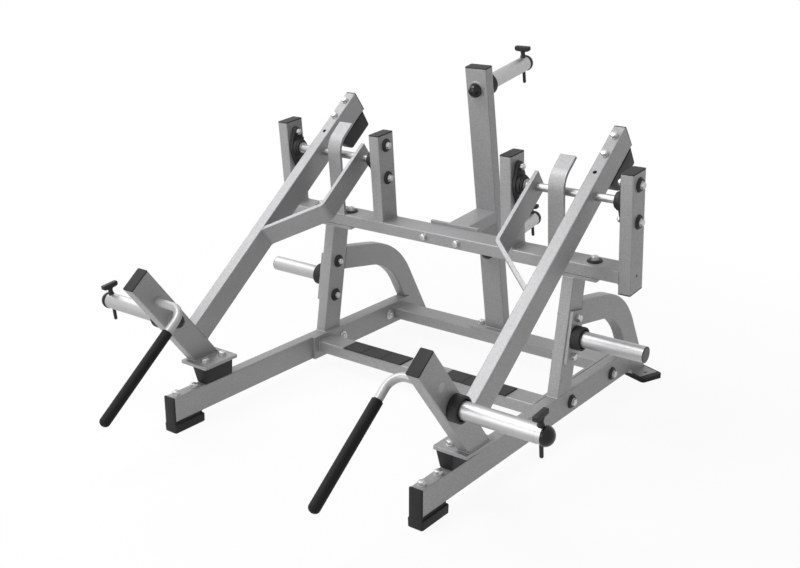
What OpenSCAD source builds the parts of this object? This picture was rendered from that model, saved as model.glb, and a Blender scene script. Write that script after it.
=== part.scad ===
// Squat and deadlift lever machine: a bolted steel frame with two plate-loaded levers.
// X runs across the machine, +Y to its back and +Z up. The origin is on the floor at the middle of its outline.

/* [Steel tube] */
// Narrow side of every rectangular tube
tube_w = 40; // [36:1:50]
// Wide side of every rectangular tube
tube_d = 80; // [72:1:90]
// Wall of every rectangular tube
wall = 3; // [2:0.5:5]
// Outer corner radius of every rectangular tube
tube_r = 4; // [2:0.5:6]
// Thickness of the welded flange, foot and bracket plates
plate_t = 10; // [8:1:12]

/* [Base] */
// Distance between the centres of the two base rails
rail_span = 928; // [880:4:960]
// Height of the rail's underside above the floor
rail_lift = 36; // [30:1:44]
// Length of the long side plates that tie the crossbars to the rails
side_plate_l = 552; // [540:4:600]
// Distance from the rail's front end to the side plates
side_plate_y = 637; // [620:1:650]
// Distance from the rail's front end to the front crossbar
front_bar_y = 661.5; // [650:0.5:670]
// Distance from the rail's front end to the rear crossbar
rear_bar_y = 1086; // [1076:1:1092]
// Width of the front shoe's floor pad
shoe_w = 50; // [44:1:60]
// Length of the front shoe's floor pad
shoe_l = 116; // [106:1:130]
// Thickness of the shoe's upright end cover
shoe_cover_t = 6; // [4:0.5:8]
// Distance from the rails' front ends to the middle of the bumpers
bumper_in = 193.86; // [180:0.5:200]
// Length of each tread
tread_l = 244; // [200:4:280]
// Width of each tread
tread_w = 73; // [60:1:76]
// Thickness of each tread
tread_t = 4; // [3:0.5:6]
// Gap between the machine's middle and each tread
tread_gap = 81; // [60:1:100]

/* [Uprights and legs] */
// Distance from the rail's front end to the upright's foot
upright_y = 703; // [690:1:715]
// Backward lean of the uprights in degrees
upright_lean = 9.5; // [6:0.5:11]
// Height along the upright at which the rear leg's centre starts
leg_start = 258; // [240:1:275]
// Straight length of the rear leg before its bend
leg_straight = 161.5; // [150:0.5:175]
// Radius of the rear leg's bend at its centre line
leg_bend_r = 260; // [240:2:280]
// Steepness of the rear leg's lower end in degrees from the floor
leg_drop = 60; // [56:1:64]
// Length of the rear foot plate
foot_l = 100; // [96:1:116]
// Width of the rear foot plate
foot_w = 78; // [70:1:90]
// Turn of the rear foot plates about the vertical in degrees
foot_turn = 21; // [10:1:30]
// Thickness of the rubber under the rear foot plate
pad_t = 10; // [8:1:14]

/* [Crossbeam] */
// Distance from the rail's front end to the crossbeam's front top edge
beam_y = 761.9; // [750:0.1:772]
// Height of the crossbeam's front top edge
beam_z = 534.6; // [500:0.1:560]
// Backward tilt of the crossbeam and its posts in degrees
beam_tilt = 5; // [3:0.5:7]
// Length of the crossbeam between the outer posts
beam_l = 1250; // [1230:2:1290]
// Distance from the middle to the inner post's inner face
inner_post_x = 229; // [215:1:240]
// Height of the posts above the crossbeam
post_h = 290; // [280:1:310]
// Reach of the outer posts below the crossbeam's top
outer_post_drop = 68; // [50:1:80]
// Length of the flange plates under and behind the crossbeam
flange_l = 184; // [176:1:196]
// Width of each guard bar
guard_w = 52; // [44:1:56]
// Thickness of each guard bar
guard_t = 10; // [8:1:12]
// Distance from the middle to the guard bar's inner edge
guard_x = 395; // [385:1:405]
// Straight height of the guard bar below its bend
guard_h = 214; // [200:1:225]
// Bend of the guard bar in degrees
guard_bend = 55; // [45:1:60]
// Radius of the guard bar's bend on its front face
guard_r = 70; // [60:1:80]
// Straight tip of the guard bar above its bend
guard_tip = 52; // [40:1:60]

/* [Mast] */
// Distance from the rail's front end to the mast's foot
mast_y = 1111; // [1106:1:1116]
// Forward lean of the mast in degrees
mast_lean = 10; // [8:0.5:12]
// Length of the mast along its front face
mast_l = 946; // [920:2:980]
// Height of the upper horn along the mast
upper_horn_w = 879; // [840:1:890]
// Height of the lower horn along the mast
lower_horn_w = 305; // [290:1:330]

/* [Plate horns] */
// Outside diameter of the plate sleeves
sleeve_d = 50; // [46:0.5:52]
// Wall of the plate sleeves
sleeve_wall = 4; // [3:0.5:6]
// Relief of the sleeves' radius under the collars, through the mast and round the locking pins
sleeve_relief = 0.5; // [0.3:0.1:1]
// Length of the plate sleeves outside the tube that carries them
sleeve_l = 259; // [240:1:290]
// Length of the storage sleeves outside their bracket plates
storage_l = 229; // [200:1:250]
// Outside diameter of the rubber collars
collar_d = 74; // [66:1:84]
// Length of the rubber collars
collar_l = 30; // [24:1:36]
// Height of the domed end caps
dome_h = 26; // [18:1:30]
// Diameter of the locking pins
pin_d = 10; // [8:0.5:12]
// Distance from the sleeve's end to its locking pin
pin_inset = 9; // [8:0.5:20]
// Reach of the locking pin below the sleeve's axis
pin_reach = 62; // [50:1:75]
// Height of the storage horns along the upright
storage_w = 190; // [180:1:200]
// Length of the storage bracket plates
bracket_l = 166; // [156:1:176]
// Width of the storage bracket plates
bracket_w = 70; // [60:1:78]

/* [Levers] */
// Height of the lever's pivot above the crossbeam
pivot_w = 200; // [194:1:210]
// Slope of the lever arm at rest in degrees
arm_angle = 37.7; // [36:0.1:39]
// Distance from the middle to the lever arm's centre
arm_x = 512.5; // [505:0.5:520]
// Reach of the lever arm in front of its pivot to the front tube's centre
boom_reach = 808; // [790:1:815]
// Reach of the lever arm behind its pivot
arm_tail = 234; // [228:1:250]
// Height of the front tube's top over the lever arm's centre line
boom_top = 318; // [290:1:340]
// Distance of the plate horn's axis down the front tube
horn_down = 196; // [175:1:205]
// Distance of the handle down the front tube
handle_down = 102.6; // [85:0.5:115]
// Diameter of the pivot shaft
shaft_d = 25; // [22:1:30]
// Thickness of the brace bar
brace_t = 12; // [8:1:14]
// Depth of the brace bar
brace_d = 75; // [60:1:80]
// Distance from the middle to the brace's inner face
brace_x = 325; // [318:1:332]
// Tail of the brace behind the pivot
brace_tail = 30; // [24:1:40]
// Straight reach of the brace in front of the pivot
brace_reach = 227; // [215:1:240]
// Bend of the brace in degrees
brace_bend = 50; // [46:1:54]
// Diameter of the handle bar
handle_d = 25; // [22:1:28]
// Distance from the middle to the grip's centre
grip_x = 385; // [375:1:395]
// Radius of the handle bar's bend at its centre line
handle_r = 60; // [50:1:70]
// Distance from the front tube's centre to the grip's start
grip_start = 82; // [78:1:100]
// Distance from the front tube's centre to the grip's end
grip_end = 398; // [360:1:420]
// Outside diameter of the grip
grip_d = 32; // [30:1:36]
// Height of the front rubber bumper
bumper_h = 54; // [48:1:60]
// Length of the lever's foot plate
foot_plate_l = 140; // [132:1:150]
// Thickness of the rear rubber bumper
stop_t = 60; // [50:1:62]

/* [Bearings] */
// Thickness of the bearing flange
bearing_flange_t = 14; // [10:1:16]
// Overall depth of the bearing housing
bearing_t = 28; // [24:1:32]
// Diameter of the bearing boss
bearing_boss_d = 60; // [54:1:66]
// Distance between the bearing's two bolts
bearing_pitch = 110; // [106:1:116]
// Outside diameter of the bearing's inner ring
ring_d = 36; // [34:1:42]

/* [Fasteners] */
// Diameter of the bolts
bolt_d = 12; // [10:0.5:12]
// Width across the flats of bolt heads and nuts
hex_af = 19; // [17:1:22]
// Height of the bolt heads and nuts
hex_h = 8; // [6:0.5:10]
// Diameter of the black frame washers
washer_d = 45; // [40:1:48]
// Thickness of the washers
washer_t = 4; // [3:0.5:5]
// Pitch of the bolts through the rubber blocks and the shoes
block_pitch = 72; // [64:1:76]

/* [Hidden] */
$fn = 48;
// Gap round a bolt in its hole
bolt_gap = 0.5;
// Gap between pressed or slid round pieces
fit = 0.05;
// Gap between a plug and the tube that it closes
plug_gap = 0.2;
// Thickness of a tube cap outside its tube, and the reach of its plug
cap_t = 4;
cap_plug = 14;
// Reach of a dome's plug into its sleeve, short of the locking pin
dome_plug = 3;
// Gaps from a collar's face to the full sleeve, and from there to the locking pin
collar_gap = 0.5;
pin_gap = 2;
// A bend runs this many degrees into the straight pieces at its ends, and lies this far inside their faces
bend_lap = 0.2;
bend_skin = 0.01;
// A size larger than the machine, for cutting planes
big = 3000;

rail_x = rail_span / 2;
rail_top = rail_lift + tube_d;
rail_inner = rail_x - tube_w / 2;
rail_outer = rail_x + tube_w / 2;
side_plate_x = rail_inner - plate_t;
bar_z = rail_lift + tube_d / 2;
bar_top = bar_z + tube_w / 2;
rail_bolt_y = [side_plate_y + 153, side_plate_y + side_plate_l - 127];

beam_x = beam_l / 2;
mid_v = tube_d / 2;
beam_bolt_x = 66;
bracket_bolt_x = 63.5;
mast_bolt_x = 65;
flange_rise = 8.5;
pivot_y = beam_y + mid_v * cos(beam_tilt) - pivot_w * sin(beam_tilt);
pivot_z = beam_z + mid_v * sin(beam_tilt) + pivot_w * cos(beam_tilt);
bearing_inner_x = inner_post_x + tube_w;
bearing_outer_x = beam_x;

arm_in = arm_x - tube_w / 2;
arm_out = arm_x + tube_w / 2;
boom_back = -boom_reach + tube_d / 2;
horn_n = boom_top - horn_down;
handle_n = boom_top - handle_down;
foot_top = rail_top + bumper_h + plate_t;
foot_y = pivot_y - boom_reach * cos(arm_angle)
    - (foot_top - pivot_z + boom_reach * sin(arm_angle)) * tan(arm_angle);
rail_front = foot_y - bumper_in;
shoe_bolt_y = [rail_front + 30, rail_front + 30 + block_pitch];
brace_r = 15;
stop_mid = 161.3;
stop_bolts = [stop_mid - block_pitch / 2, stop_mid + block_pitch / 2];
block_bolts = [-block_pitch / 2, block_pitch / 2];
pin_at = sleeve_l - pin_inset;
root_d = sleeve_d - 2 * sleeve_relief;
lever_pin_lean = 6.6;
lever_pin_turn = lever_pin_lean - arm_angle - 90;
bracket_bolt_w = 60;

leg_sweep = leg_drop - upright_lean;
leg_end_l = 260;
pad_top = pad_t + 6;
leg_foot_y = 1284.5;

// The outline runs from the grips' lower ends to the lower mast horn's dome
grip_u = -boom_reach - grip_end;
front_y = pivot_y + grip_u * cos(arm_angle) - handle_n * sin(arm_angle) - grip_d / 2 * sin(arm_angle);
function dome_sphere(d) = (d * d / 4 + dome_h * dome_h) / (2 * dome_h);
dome_r = dome_sphere(sleeve_d);
rear_y = mast_y + (tube_w + sleeve_l + dome_h - dome_r) * cos(mast_lean) - lower_horn_w * sin(mast_lean) + dome_r;
middle_y = (front_y + rear_y) / 2;

steel = [0.66, 0.67, 0.68];
bright = [0.80, 0.81, 0.82];
black = [0.11, 0.11, 0.115];

// Frames of reference. Each one puts its children where that assembly starts.
module machine() { translate([0, -middle_y, 0]) children(); }
module at_beam() { translate([0, beam_y, beam_z]) rotate([beam_tilt, 0, 0]) children(); }
module at_pivot() { translate([0, pivot_y, pivot_z]) rotate([arm_angle, 0, 0]) children(); }
module at_mast() { translate([0, mast_y, bar_top + plate_t]) rotate([mast_lean, 0, 0]) children(); }
module at_upright() { translate([0, upright_y, rail_top]) rotate([-upright_lean, 0, 0]) children(); }
module left() { mirror([1, 0, 0]) children(); }
module both() {
    children();
    left() children();
}

// Tube sections and stock
module soft_square(w, h, r) {
    square([w - 2 * r, h], center = true);
    square([w, h - 2 * r], center = true);
    for (x = [-1, 1], y = [-1, 1]) translate([x * (w / 2 - r), y * (h / 2 - r)]) circle(r);
}
module section(w, h) {
    difference() {
        soft_square(w, h, tube_r);
        soft_square(w - 2 * wall, h - 2 * wall, max(tube_r - wall, 1));
    }
}
module tube_z(w, h, l) { linear_extrude(l) section(w, h); }
module tube_y(w, h, l) { rotate([-90, 0, 0]) linear_extrude(l) section(w, h); }
module tube_x(w, h, l) { rotate([90, 0, 90]) linear_extrude(l) section(w, h); }

// A round bar or hole along X from x1 to x2
module rod_x(d, x1, x2) { translate([x1, 0, 0]) rotate([0, 90, 0]) cylinder(d = d, h = x2 - x1); }

// A flat bar of thickness t that runs up, bends towards +X round its inner radius r, and runs on
module bent_bar(t, r, bend, l1, l2) {
    square([t, l1]);
    translate([t + r, l1]) {
        intersection() {
            difference() {
                circle(r + t - bend_skin);
                circle(r + bend_skin);
            }
            polygon([[0, 0], [-2 * (r + t), -2 * (r + t) * tan(bend_lap)], [-2 * (r + t), 2 * (r + t)],
                [-2 * (r + t) * cos(bend + bend_lap), 2 * (r + t) * sin(bend + bend_lap)]]);
        }
        rotate(-bend) translate([-(r + t), 0]) square([t, l2]);
    }
}

// The plug that closes a tube: a lid outside and a spigot inside, made along +Z from the tube's end
module tube_cap(w, h) {
    linear_extrude(cap_t) soft_square(w, h, tube_r);
    translate([0, 0, -cap_plug]) linear_extrude(cap_plug)
        soft_square(w - 2 * wall - 2 * plug_gap, h - 2 * wall - 2 * plug_gap, 1);
}

// Fasteners point down -Z, with the underside of the head on Z = 0
module hex_head(h = hex_h) {
    intersection() {
        cylinder(d = hex_af / cos(30), h = h, $fn = 6);
        cylinder(r1 = hex_af / cos(30) / 2 + h - 1, r2 = hex_af / cos(30) / 2 - 1, h = h);
    }
}
module bolt(l) {
    hex_head();
    translate([0, 0, -l]) cylinder(d = bolt_d, h = l);
}
module nut() {
    difference() {
        intersection() {
            cylinder(d = hex_af / cos(30), h = hex_h, $fn = 6);
            cylinder(r1 = hex_af / cos(30) / 2 + hex_h - 1, r2 = hex_af / cos(30) / 2 - 1, h = hex_h);
        }
        translate([0, 0, -1]) cylinder(d = bolt_d + 2 * fit, h = hex_h + 2);
    }
}
module washer(d) {
    difference() {
        cylinder(d = d, h = washer_t);
        translate([0, 0, -1]) cylinder(d = bolt_d + 2 * fit, h = washer_t + 2);
    }
}
module bolt_hole(l) { translate([0, 0, -l - 1]) cylinder(d = bolt_d + bolt_gap, h = l + 2); }

// A plate sleeve along +Z from z0 to z2, relieved up to the face of a collar at collar_z and round a pin at pin_z
module sleeve(z0, collar_z, z2, pin_z, turn) {
    z1 = collar_z + collar_l + collar_gap;
    full_end = pin_z > 0 ? pin_z - pin_d / 2 - pin_gap : z2;
    difference() {
        union() {
            translate([0, 0, z0]) cylinder(d = root_d, h = z2 - z0);
            translate([0, 0, z1]) cylinder(d = sleeve_d, h = full_end - z1);
        }
        translate([0, 0, z0 - 1]) cylinder(d = sleeve_d - 2 * sleeve_wall, h = z2 - z0 + 2);
        if (pin_z > 0) translate([0, 0, pin_z]) rotate([0, 0, turn]) rotate([90, 0, 0])
            cylinder(d = pin_d + 4 * fit, h = sleeve_d + 2, center = true);
    }
}
module collar() {
    rotate_extrude() difference() {
        translate([root_d / 2 + fit, 0]) square([(collar_d - root_d) / 2 - fit, collar_l]);
        translate([sleeve_d / 2 - 1, collar_l * 0.55]) square([collar_d / 2 - sleeve_d / 2 - 6, collar_l]);
        translate([collar_d / 2, collar_l]) rotate(45) square(5, center = true);
    }
}
module dome_cap(d) {
    r = dome_sphere(d);
    intersection() {
        translate([0, 0, dome_h - r]) sphere(r);
        cylinder(d = d, h = dome_h + 1);
    }
    translate([0, 0, -dome_plug]) cylinder(d = sleeve_d - 2 * sleeve_wall - 2 * plug_gap, h = dome_plug);
}
module flush_plug() {
    translate([0, 0, -cap_plug]) cylinder(d = sleeve_d - 2 * sleeve_wall - 2 * plug_gap, h = cap_plug);
    cylinder(d = sleeve_d, h = 2);
}
module locking_pin() {
    neck_z = sleeve_d / 2 + 12;
    translate([0, 0, -pin_reach + pin_d / 2]) cylinder(d = pin_d, h = pin_reach + neck_z - pin_d / 2 + 1);
    translate([0, 0, -pin_reach + pin_d / 2]) sphere(d = pin_d);
    translate([0, 0, neck_z]) cylinder(d = 16, h = 10);
    translate([0, 0, neck_z + 9]) linear_extrude(14) soft_square(46, 14, 3);
}

// Base
module shoe_holes() {
    for (y = shoe_bolt_y) translate([rail_x, y, rail_top]) bolt_hole(tube_d + 20);
}
module rail_bolt_axes() {
    for (y = rail_bolt_y) translate([rail_outer, y, bar_z]) rotate([0, 90, 0]) children();
}
module base_rail() {
    difference() {
        translate([rail_x, rail_front + shoe_cover_t, rail_lift + tube_d / 2]) tube_y(tube_w, tube_d, big / 2);
        leg_space();
        shoe_holes();
        rail_bolt_axes() bolt_hole(tube_w + plate_t);
    }
}
// Everything behind the front face of the rear leg's lower end
module leg_space() {
    leg_bend_end() translate([-big / 2, tube_d / 2 - big, -big / 2]) cube([big, big, big]);
}
module front_shoe() {
    difference() {
        union() {
            translate([rail_x - tube_w / 2 - 1, rail_front, 0]) cube([tube_w + 2, shoe_cover_t, rail_top]);
            translate([rail_x, rail_front + shoe_cover_t + (shoe_l - 1) / 2, 0])
                linear_extrude(rail_lift) soft_square(shoe_w, shoe_l, 5);
        }
        for (y = shoe_bolt_y) translate([rail_x, y, rail_top]) bolt_hole(rail_top - 12);
    }
}
module crossbar(y) {
    translate([-side_plate_x, y + tube_d / 2, bar_z]) tube_x(tube_d, tube_w, 2 * side_plate_x);
}
module side_plate() {
    difference() {
        translate([side_plate_x, side_plate_y, rail_lift]) cube([plate_t, side_plate_l, tube_d]);
        rail_bolt_axes() bolt_hole(tube_w + plate_t);
    }
}
module tread() {
    seam = 1.5;
    panel = (tread_l - 2 * seam) / 3;
    translate([tread_gap, front_bar_y - 3, bar_top]) difference() {
        cube([tread_l, tread_w, tread_t]);
        for (i = [1, 2]) translate([i * panel + (i - 1) * seam, 4, tread_t - 1]) cube([seam, tread_w - 8, 2]);
    }
}

// Uprights and rear legs
module upright() {
    difference() {
        intersection() {
            at_upright() translate([rail_x, tube_d / 2, -tube_d]) tube_z(tube_w, tube_d, big / 4);
            translate([0, 0, rail_top]) cube([big, big, big]);
            at_beam() translate([0, -big / 2, -tube_w - plate_t - big]) cube([big, big, big]);
        }
        storage_bolt_axes() bolt_hole(tube_w + plate_t);
    }
    at_beam() difference() {
        translate([rail_x - flange_l / 2, 0, -tube_w - plate_t]) cube([flange_l, tube_d, plate_t]);
        beam_bolt_axes() bolt_hole(tube_w + plate_t);
    }
}
module leg_start_at() { at_upright() translate([rail_x, tube_d, leg_start]) children(); }
// Where the rear leg's bend ends, with local Z running down along the leg
module leg_bend_end() {
    leg_start_at() translate([0, leg_straight, -leg_bend_r]) rotate([-leg_sweep, 0, 0])
        translate([0, 0, leg_bend_r]) rotate([-90, 0, 0]) children();
}
module rear_leg() {
    intersection() {
        union() {
            leg_start_at() tube_y(tube_w, tube_d, leg_straight);
            leg_start_at() translate([0, leg_straight, -leg_bend_r]) rotate([0, -90, 0])
                rotate(-bend_lap) rotate_extrude(angle = leg_sweep + 2 * bend_lap) translate([leg_bend_r, 0])
                    section(tube_d - 2 * bend_skin, tube_w - 2 * bend_skin);
            leg_bend_end() tube_z(tube_w, tube_d, leg_end_l);
        }
        translate([0, 0, pad_top]) cube([big, big, big]);
    }
    at_foot() difference() {
        translate([0, 0, pad_t]) foot_outline(0);
        translate([foot_l * 0.68 - 18, 0, 0]) cylinder(d = 12, h = big);
    }
}
module at_foot() { translate([rail_x, leg_foot_y, 0]) rotate(-foot_turn) children(); }
module foot_outline(grow) {
    translate([foot_l * 0.18, 0, 0]) linear_extrude(pad_top - pad_t) soft_square(foot_l + 2 * grow, foot_w + 2 * grow, 4 + grow);
}
module rear_pad() {
    at_foot() difference() {
        translate([foot_l * 0.18 + 5, 0, 0]) linear_extrude(pad_top) soft_square(foot_l + 30, foot_w + 12, 12);
        translate([0, 0, pad_t]) foot_outline(plug_gap);
        translate([foot_l * 0.68 - 18, 0, -1]) cylinder(d = 14, h = big);
        for (z = [4, 9]) translate([foot_l * 0.18 + 5, 0, z]) difference() {
            linear_extrude(1.5) soft_square(foot_l + 60, foot_w + 40, 12);
            translate([0, 0, -1]) linear_extrude(4) soft_square(foot_l + 27, foot_w + 9, 10.5);
        }
    }
}

// Crossbeam and its posts
module beam_bolt_axes() {
    for (s = [-1, 1]) translate([rail_x + s * beam_bolt_x, mid_v, 0]) children();
}
module bracket_bolt_axes() {
    for (s = [-1, 1]) translate([s * bracket_bolt_x, 0, -tube_w / 2 + 2]) rotate([90, 0, 0]) children();
}
module crossbeam() {
    at_beam() difference() {
        translate([-beam_x, mid_v, -tube_w / 2]) tube_x(tube_d, tube_w, beam_l);
        both() beam_bolt_axes() bolt_hole(tube_w);
        bracket_bolt_axes() bolt_hole(tube_d);
    }
}
module bearing_bolt_axes() {
    for (s = [-1, 1]) translate([0, mid_v, pivot_w + s * bearing_pitch / 2]) rotate([0, 90, 0]) children();
}
module inner_post() {
    at_beam() difference() {
        translate([inner_post_x + tube_w / 2, mid_v, 0]) tube_z(tube_w, tube_d, post_h);
        translate([inner_post_x + tube_w, 0, 0]) bearing_bolt_axes() bolt_hole(tube_w);
    }
}
module outer_post() {
    at_beam() difference() {
        translate([beam_x + tube_w / 2, mid_v, -outer_post_drop]) tube_z(tube_w, tube_d, post_h + outer_post_drop);
        translate([beam_x + tube_w, 0, 0]) bearing_bolt_axes() bolt_hole(tube_w);
        translate([beam_x + tube_w, mid_v, -tube_w / 2]) rotate([0, 90, 0])
            translate([0, 0, -wall - 1]) cylinder(d = 9, h = wall + 2);
    }
}
module guard_bar() {
    at_beam() translate([guard_x, 0, 0]) rotate([90, 0, 90]) linear_extrude(guard_w)
        bent_bar(guard_t, guard_r - guard_t, guard_bend, guard_h, guard_tip);
}

// Mast
module mast_bracket() {
    at_beam() difference() {
        translate([-flange_l / 2, tube_d, -tube_w]) cube([flange_l, plate_t, tube_w + flange_rise]);
        bracket_bolt_axes() bolt_hole(tube_d + plate_t);
    }
    difference() {
        at_beam() translate([0, tube_d + plate_t, -tube_w / 2]) tube_y(tube_d, tube_w, big / 8);
        at_mast() translate([-big / 2, 0, -big / 2]) cube([big, big, big]);
    }
}
module mast_bolt_axes() {
    for (s = [-1, 1]) translate([s * mast_bolt_x, rear_bar_y + tube_d / 2, bar_top + plate_t]) children();
}
module mast() {
    difference() {
        at_mast() translate([0, tube_w / 2, -tube_d]) tube_z(tube_d, tube_w, mast_l + tube_d);
        translate([-big / 2, 0, -big + bar_top + plate_t]) cube([big, big, big]);
        for (w = [upper_horn_w, lower_horn_w]) at_mast() translate([0, -1, w]) rotate([-90, 0, 0])
            cylinder(d = root_d + 2 * fit, h = tube_w + 2);
    }
    difference() {
        translate([-flange_l / 2, rear_bar_y, bar_top]) cube([flange_l, tube_d, plate_t]);
        mast_bolt_axes() bolt_hole(plate_t);
    }
}
module at_horn(w) { at_mast() translate([0, tube_w, w]) rotate([-90, 0, 0]) children(); }
module mast_horn(w) { at_horn(w) sleeve(-tube_w - 8, 0, sleeve_l, pin_at, 0); }

// Storage horns on the uprights
module at_storage() { at_upright() translate([rail_outer, tube_d / 2, storage_w]) rotate([0, 90, 0]) children(); }
module storage_bolt_axes() {
    at_storage() for (s = [-1, 1]) translate([s * bracket_bolt_w, 0, plate_t]) children();
}
module storage_bracket() {
    difference() {
        at_storage() linear_extrude(plate_t) soft_square(bracket_l, bracket_w, 3);
        storage_bolt_axes() bolt_hole(tube_w + plate_t);
    }
}
module storage_horn() { at_storage() sleeve(plate_t, plate_t, plate_t + storage_l, 0, 0); }

module frame_caps() {
    both() {
        at_beam() translate([inner_post_x + tube_w / 2, mid_v, post_h]) tube_cap(tube_w, tube_d);
        at_beam() translate([beam_x + tube_w / 2, mid_v, post_h]) tube_cap(tube_w, tube_d);
        at_beam() translate([beam_x + tube_w / 2, mid_v, -outer_post_drop]) mirror([0, 0, 1]) tube_cap(tube_w, tube_d);
        at_storage() translate([0, 0, plate_t + storage_l]) flush_plug();
    }
    at_mast() translate([0, tube_w / 2, mast_l]) tube_cap(tube_d, tube_w);
    for (w = [upper_horn_w, lower_horn_w]) {
        at_horn(w) translate([0, 0, sleeve_l]) dome_cap(sleeve_d);
        at_horn(w) translate([0, 0, -tube_w - 8]) mirror([0, 0, 1]) dome_cap(root_d);
    }
}
module horn_collars() {
    both() at_storage() translate([0, 0, plate_t]) collar();
    for (w = [upper_horn_w, lower_horn_w]) at_horn(w) collar();
}

// Flange bearings on the posts
module bearing_outline() {
    r1 = bearing_boss_d / 2 + 4;
    r2 = 14;
    d = bearing_pitch / 2;
    a = acos((r1 - r2) / d);
    circle(r1);
    for (s = [-1, 1]) translate([s * d, 0]) circle(r2);
    for (s = [-1, 1]) polygon([[0, 0], [s * r1 * cos(a), r1 * sin(a)], [s * (d + r2 * cos(a)), r2 * sin(a)],
        [s * (d + r2 * cos(a)), -r2 * sin(a)], [s * r1 * cos(a), -r1 * sin(a)]]);
}
module bearing() {
    difference() {
        union() {
            linear_extrude(bearing_flange_t) bearing_outline();
            cylinder(d = bearing_boss_d, h = bearing_t - 4);
            translate([0, 0, bearing_t - 4]) cylinder(d1 = bearing_boss_d, d2 = bearing_boss_d - 6, h = 4);
        }
        translate([0, 0, -1]) cylinder(d = ring_d + 2 * fit, h = bearing_t + 2);
        for (s = [-1, 1]) translate([s * bearing_pitch / 2, 0, bearing_flange_t]) bolt_hole(bearing_flange_t);
    }
}
module bearings() {
    at_beam() translate([bearing_inner_x, mid_v, pivot_w]) rotate([0, 90, 0]) bearing();
    at_beam() translate([bearing_outer_x, mid_v, pivot_w]) rotate([0, -90, 0]) bearing();
}
module bearing_bolts() {
    at_beam() {
        translate([inner_post_x, 0, 0]) mirror([1, 0, 0]) bearing_bolt_axes()
            translate([0, 0, washer_t]) bolt(washer_t + tube_w + bearing_flange_t + hex_h + 3);
        translate([bearing_inner_x + bearing_flange_t, 0, 0]) bearing_bolt_axes() nut();
        translate([beam_x + tube_w, 0, 0]) bearing_bolt_axes()
            translate([0, 0, washer_t]) bolt(washer_t + tube_w + bearing_flange_t + hex_h + 3);
        translate([beam_x - bearing_flange_t, 0, 0]) mirror([1, 0, 0]) bearing_bolt_axes() nut();
    }
}

// Fasteners of the frame
module frame_bolts() {
    both() {
        for (y = shoe_bolt_y) translate([rail_x, y, rail_top]) bolt(rail_top - 14);
        rail_bolt_axes() translate([0, 0, washer_t]) bolt(2 * washer_t + tube_w + plate_t + hex_h + 2);
        rail_bolt_axes() translate([0, 0, -tube_w - plate_t - washer_t]) mirror([0, 0, 1]) nut();
        at_beam() beam_bolt_axes() translate([0, 0, washer_t]) bolt(washer_t + tube_w + plate_t + hex_h + 2);
        at_beam() beam_bolt_axes() translate([0, 0, -tube_w - plate_t]) mirror([0, 0, 1]) nut();
        storage_bolt_axes() bolt(plate_t + tube_w + washer_t + hex_h + 2);
        storage_bolt_axes() translate([0, 0, -tube_w - plate_t - washer_t]) mirror([0, 0, 1]) nut();
    }
    at_beam() bracket_bolt_axes() bolt(tube_d + plate_t + hex_h + 2);
    at_beam() bracket_bolt_axes() translate([0, 0, -tube_d - plate_t]) mirror([0, 0, 1]) nut();
    mast_bolt_axes() bolt(plate_t);
}
module frame_washers() {
    both() {
        rail_bolt_axes() washer(washer_d);
        rail_bolt_axes() translate([0, 0, -tube_w - plate_t - washer_t]) washer(washer_d - 8);
        storage_bolt_axes() translate([0, 0, -tube_w - plate_t - washer_t]) washer(washer_d);
        at_beam() beam_bolt_axes() washer(washer_d + 3);
        at_beam() translate([inner_post_x, 0, 0]) mirror([1, 0, 0]) bearing_bolt_axes() washer(washer_d - 1);
        at_beam() translate([beam_x + tube_w, 0, 0]) bearing_bolt_axes() washer(washer_d - 1);
    }
}

// Levers, drawn for the right-hand side
module stop_bolt_axes() { for (u = stop_bolts) translate([arm_x, u, tube_d / 2]) children(); }
module block_bolt_axes() {
    for (y = block_bolts) translate([rail_x, foot_y + y, foot_top]) children();
}
module arm() {
    at_pivot() difference() {
        translate([arm_x, boom_back, 0]) tube_y(tube_w, tube_d, arm_tail - boom_back);
        rod_x(shaft_d + 2 * fit, arm_in - 1, arm_out + 1);
        stop_bolt_axes() bolt_hole(tube_d);
        translate([arm_x, 55, tube_d / 2]) bolt_hole(wall);
    }
}
module front_tube() {
    difference() {
        at_pivot() translate([arm_x, -boom_reach, -big / 8]) tube_z(tube_w, tube_d, boom_top + big / 8);
        translate([0, -big / 2, foot_top - big]) cube([big, big, big]);
        at_handle() rod_x(handle_d + 2 * fit, -tube_w - 1, 1);
    }
    difference() {
        translate([rail_x + 20, foot_y, foot_top - plate_t]) linear_extrude(plate_t) soft_square(108, foot_plate_l, 4);
        block_bolt_axes() bolt_hole(plate_t);
    }
}
module brace() {
    at_pivot() difference() {
        intersection() {
            translate([brace_x, brace_tail, -brace_d / 2]) mirror([0, 1, 0]) linear_extrude(brace_d)
                bent_bar(brace_t, brace_r, brace_bend, brace_tail + brace_reach, big / 8);
            translate([0, -big / 2, -big / 2]) cube([arm_in, big, big]);
        }
        rod_x(shaft_d + 2 * fit, brace_x - 1, brace_x + brace_t + 1);
    }
}
module shaft() {
    at_pivot() {
        rod_x(shaft_d, bearing_inner_x + 2, bearing_outer_x - 2);
        rod_x(ring_d, bearing_inner_x + 2, bearing_inner_x + bearing_t + 3);
        rod_x(ring_d, bearing_outer_x - bearing_t - 3, bearing_outer_x - 2);
    }
}
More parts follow.
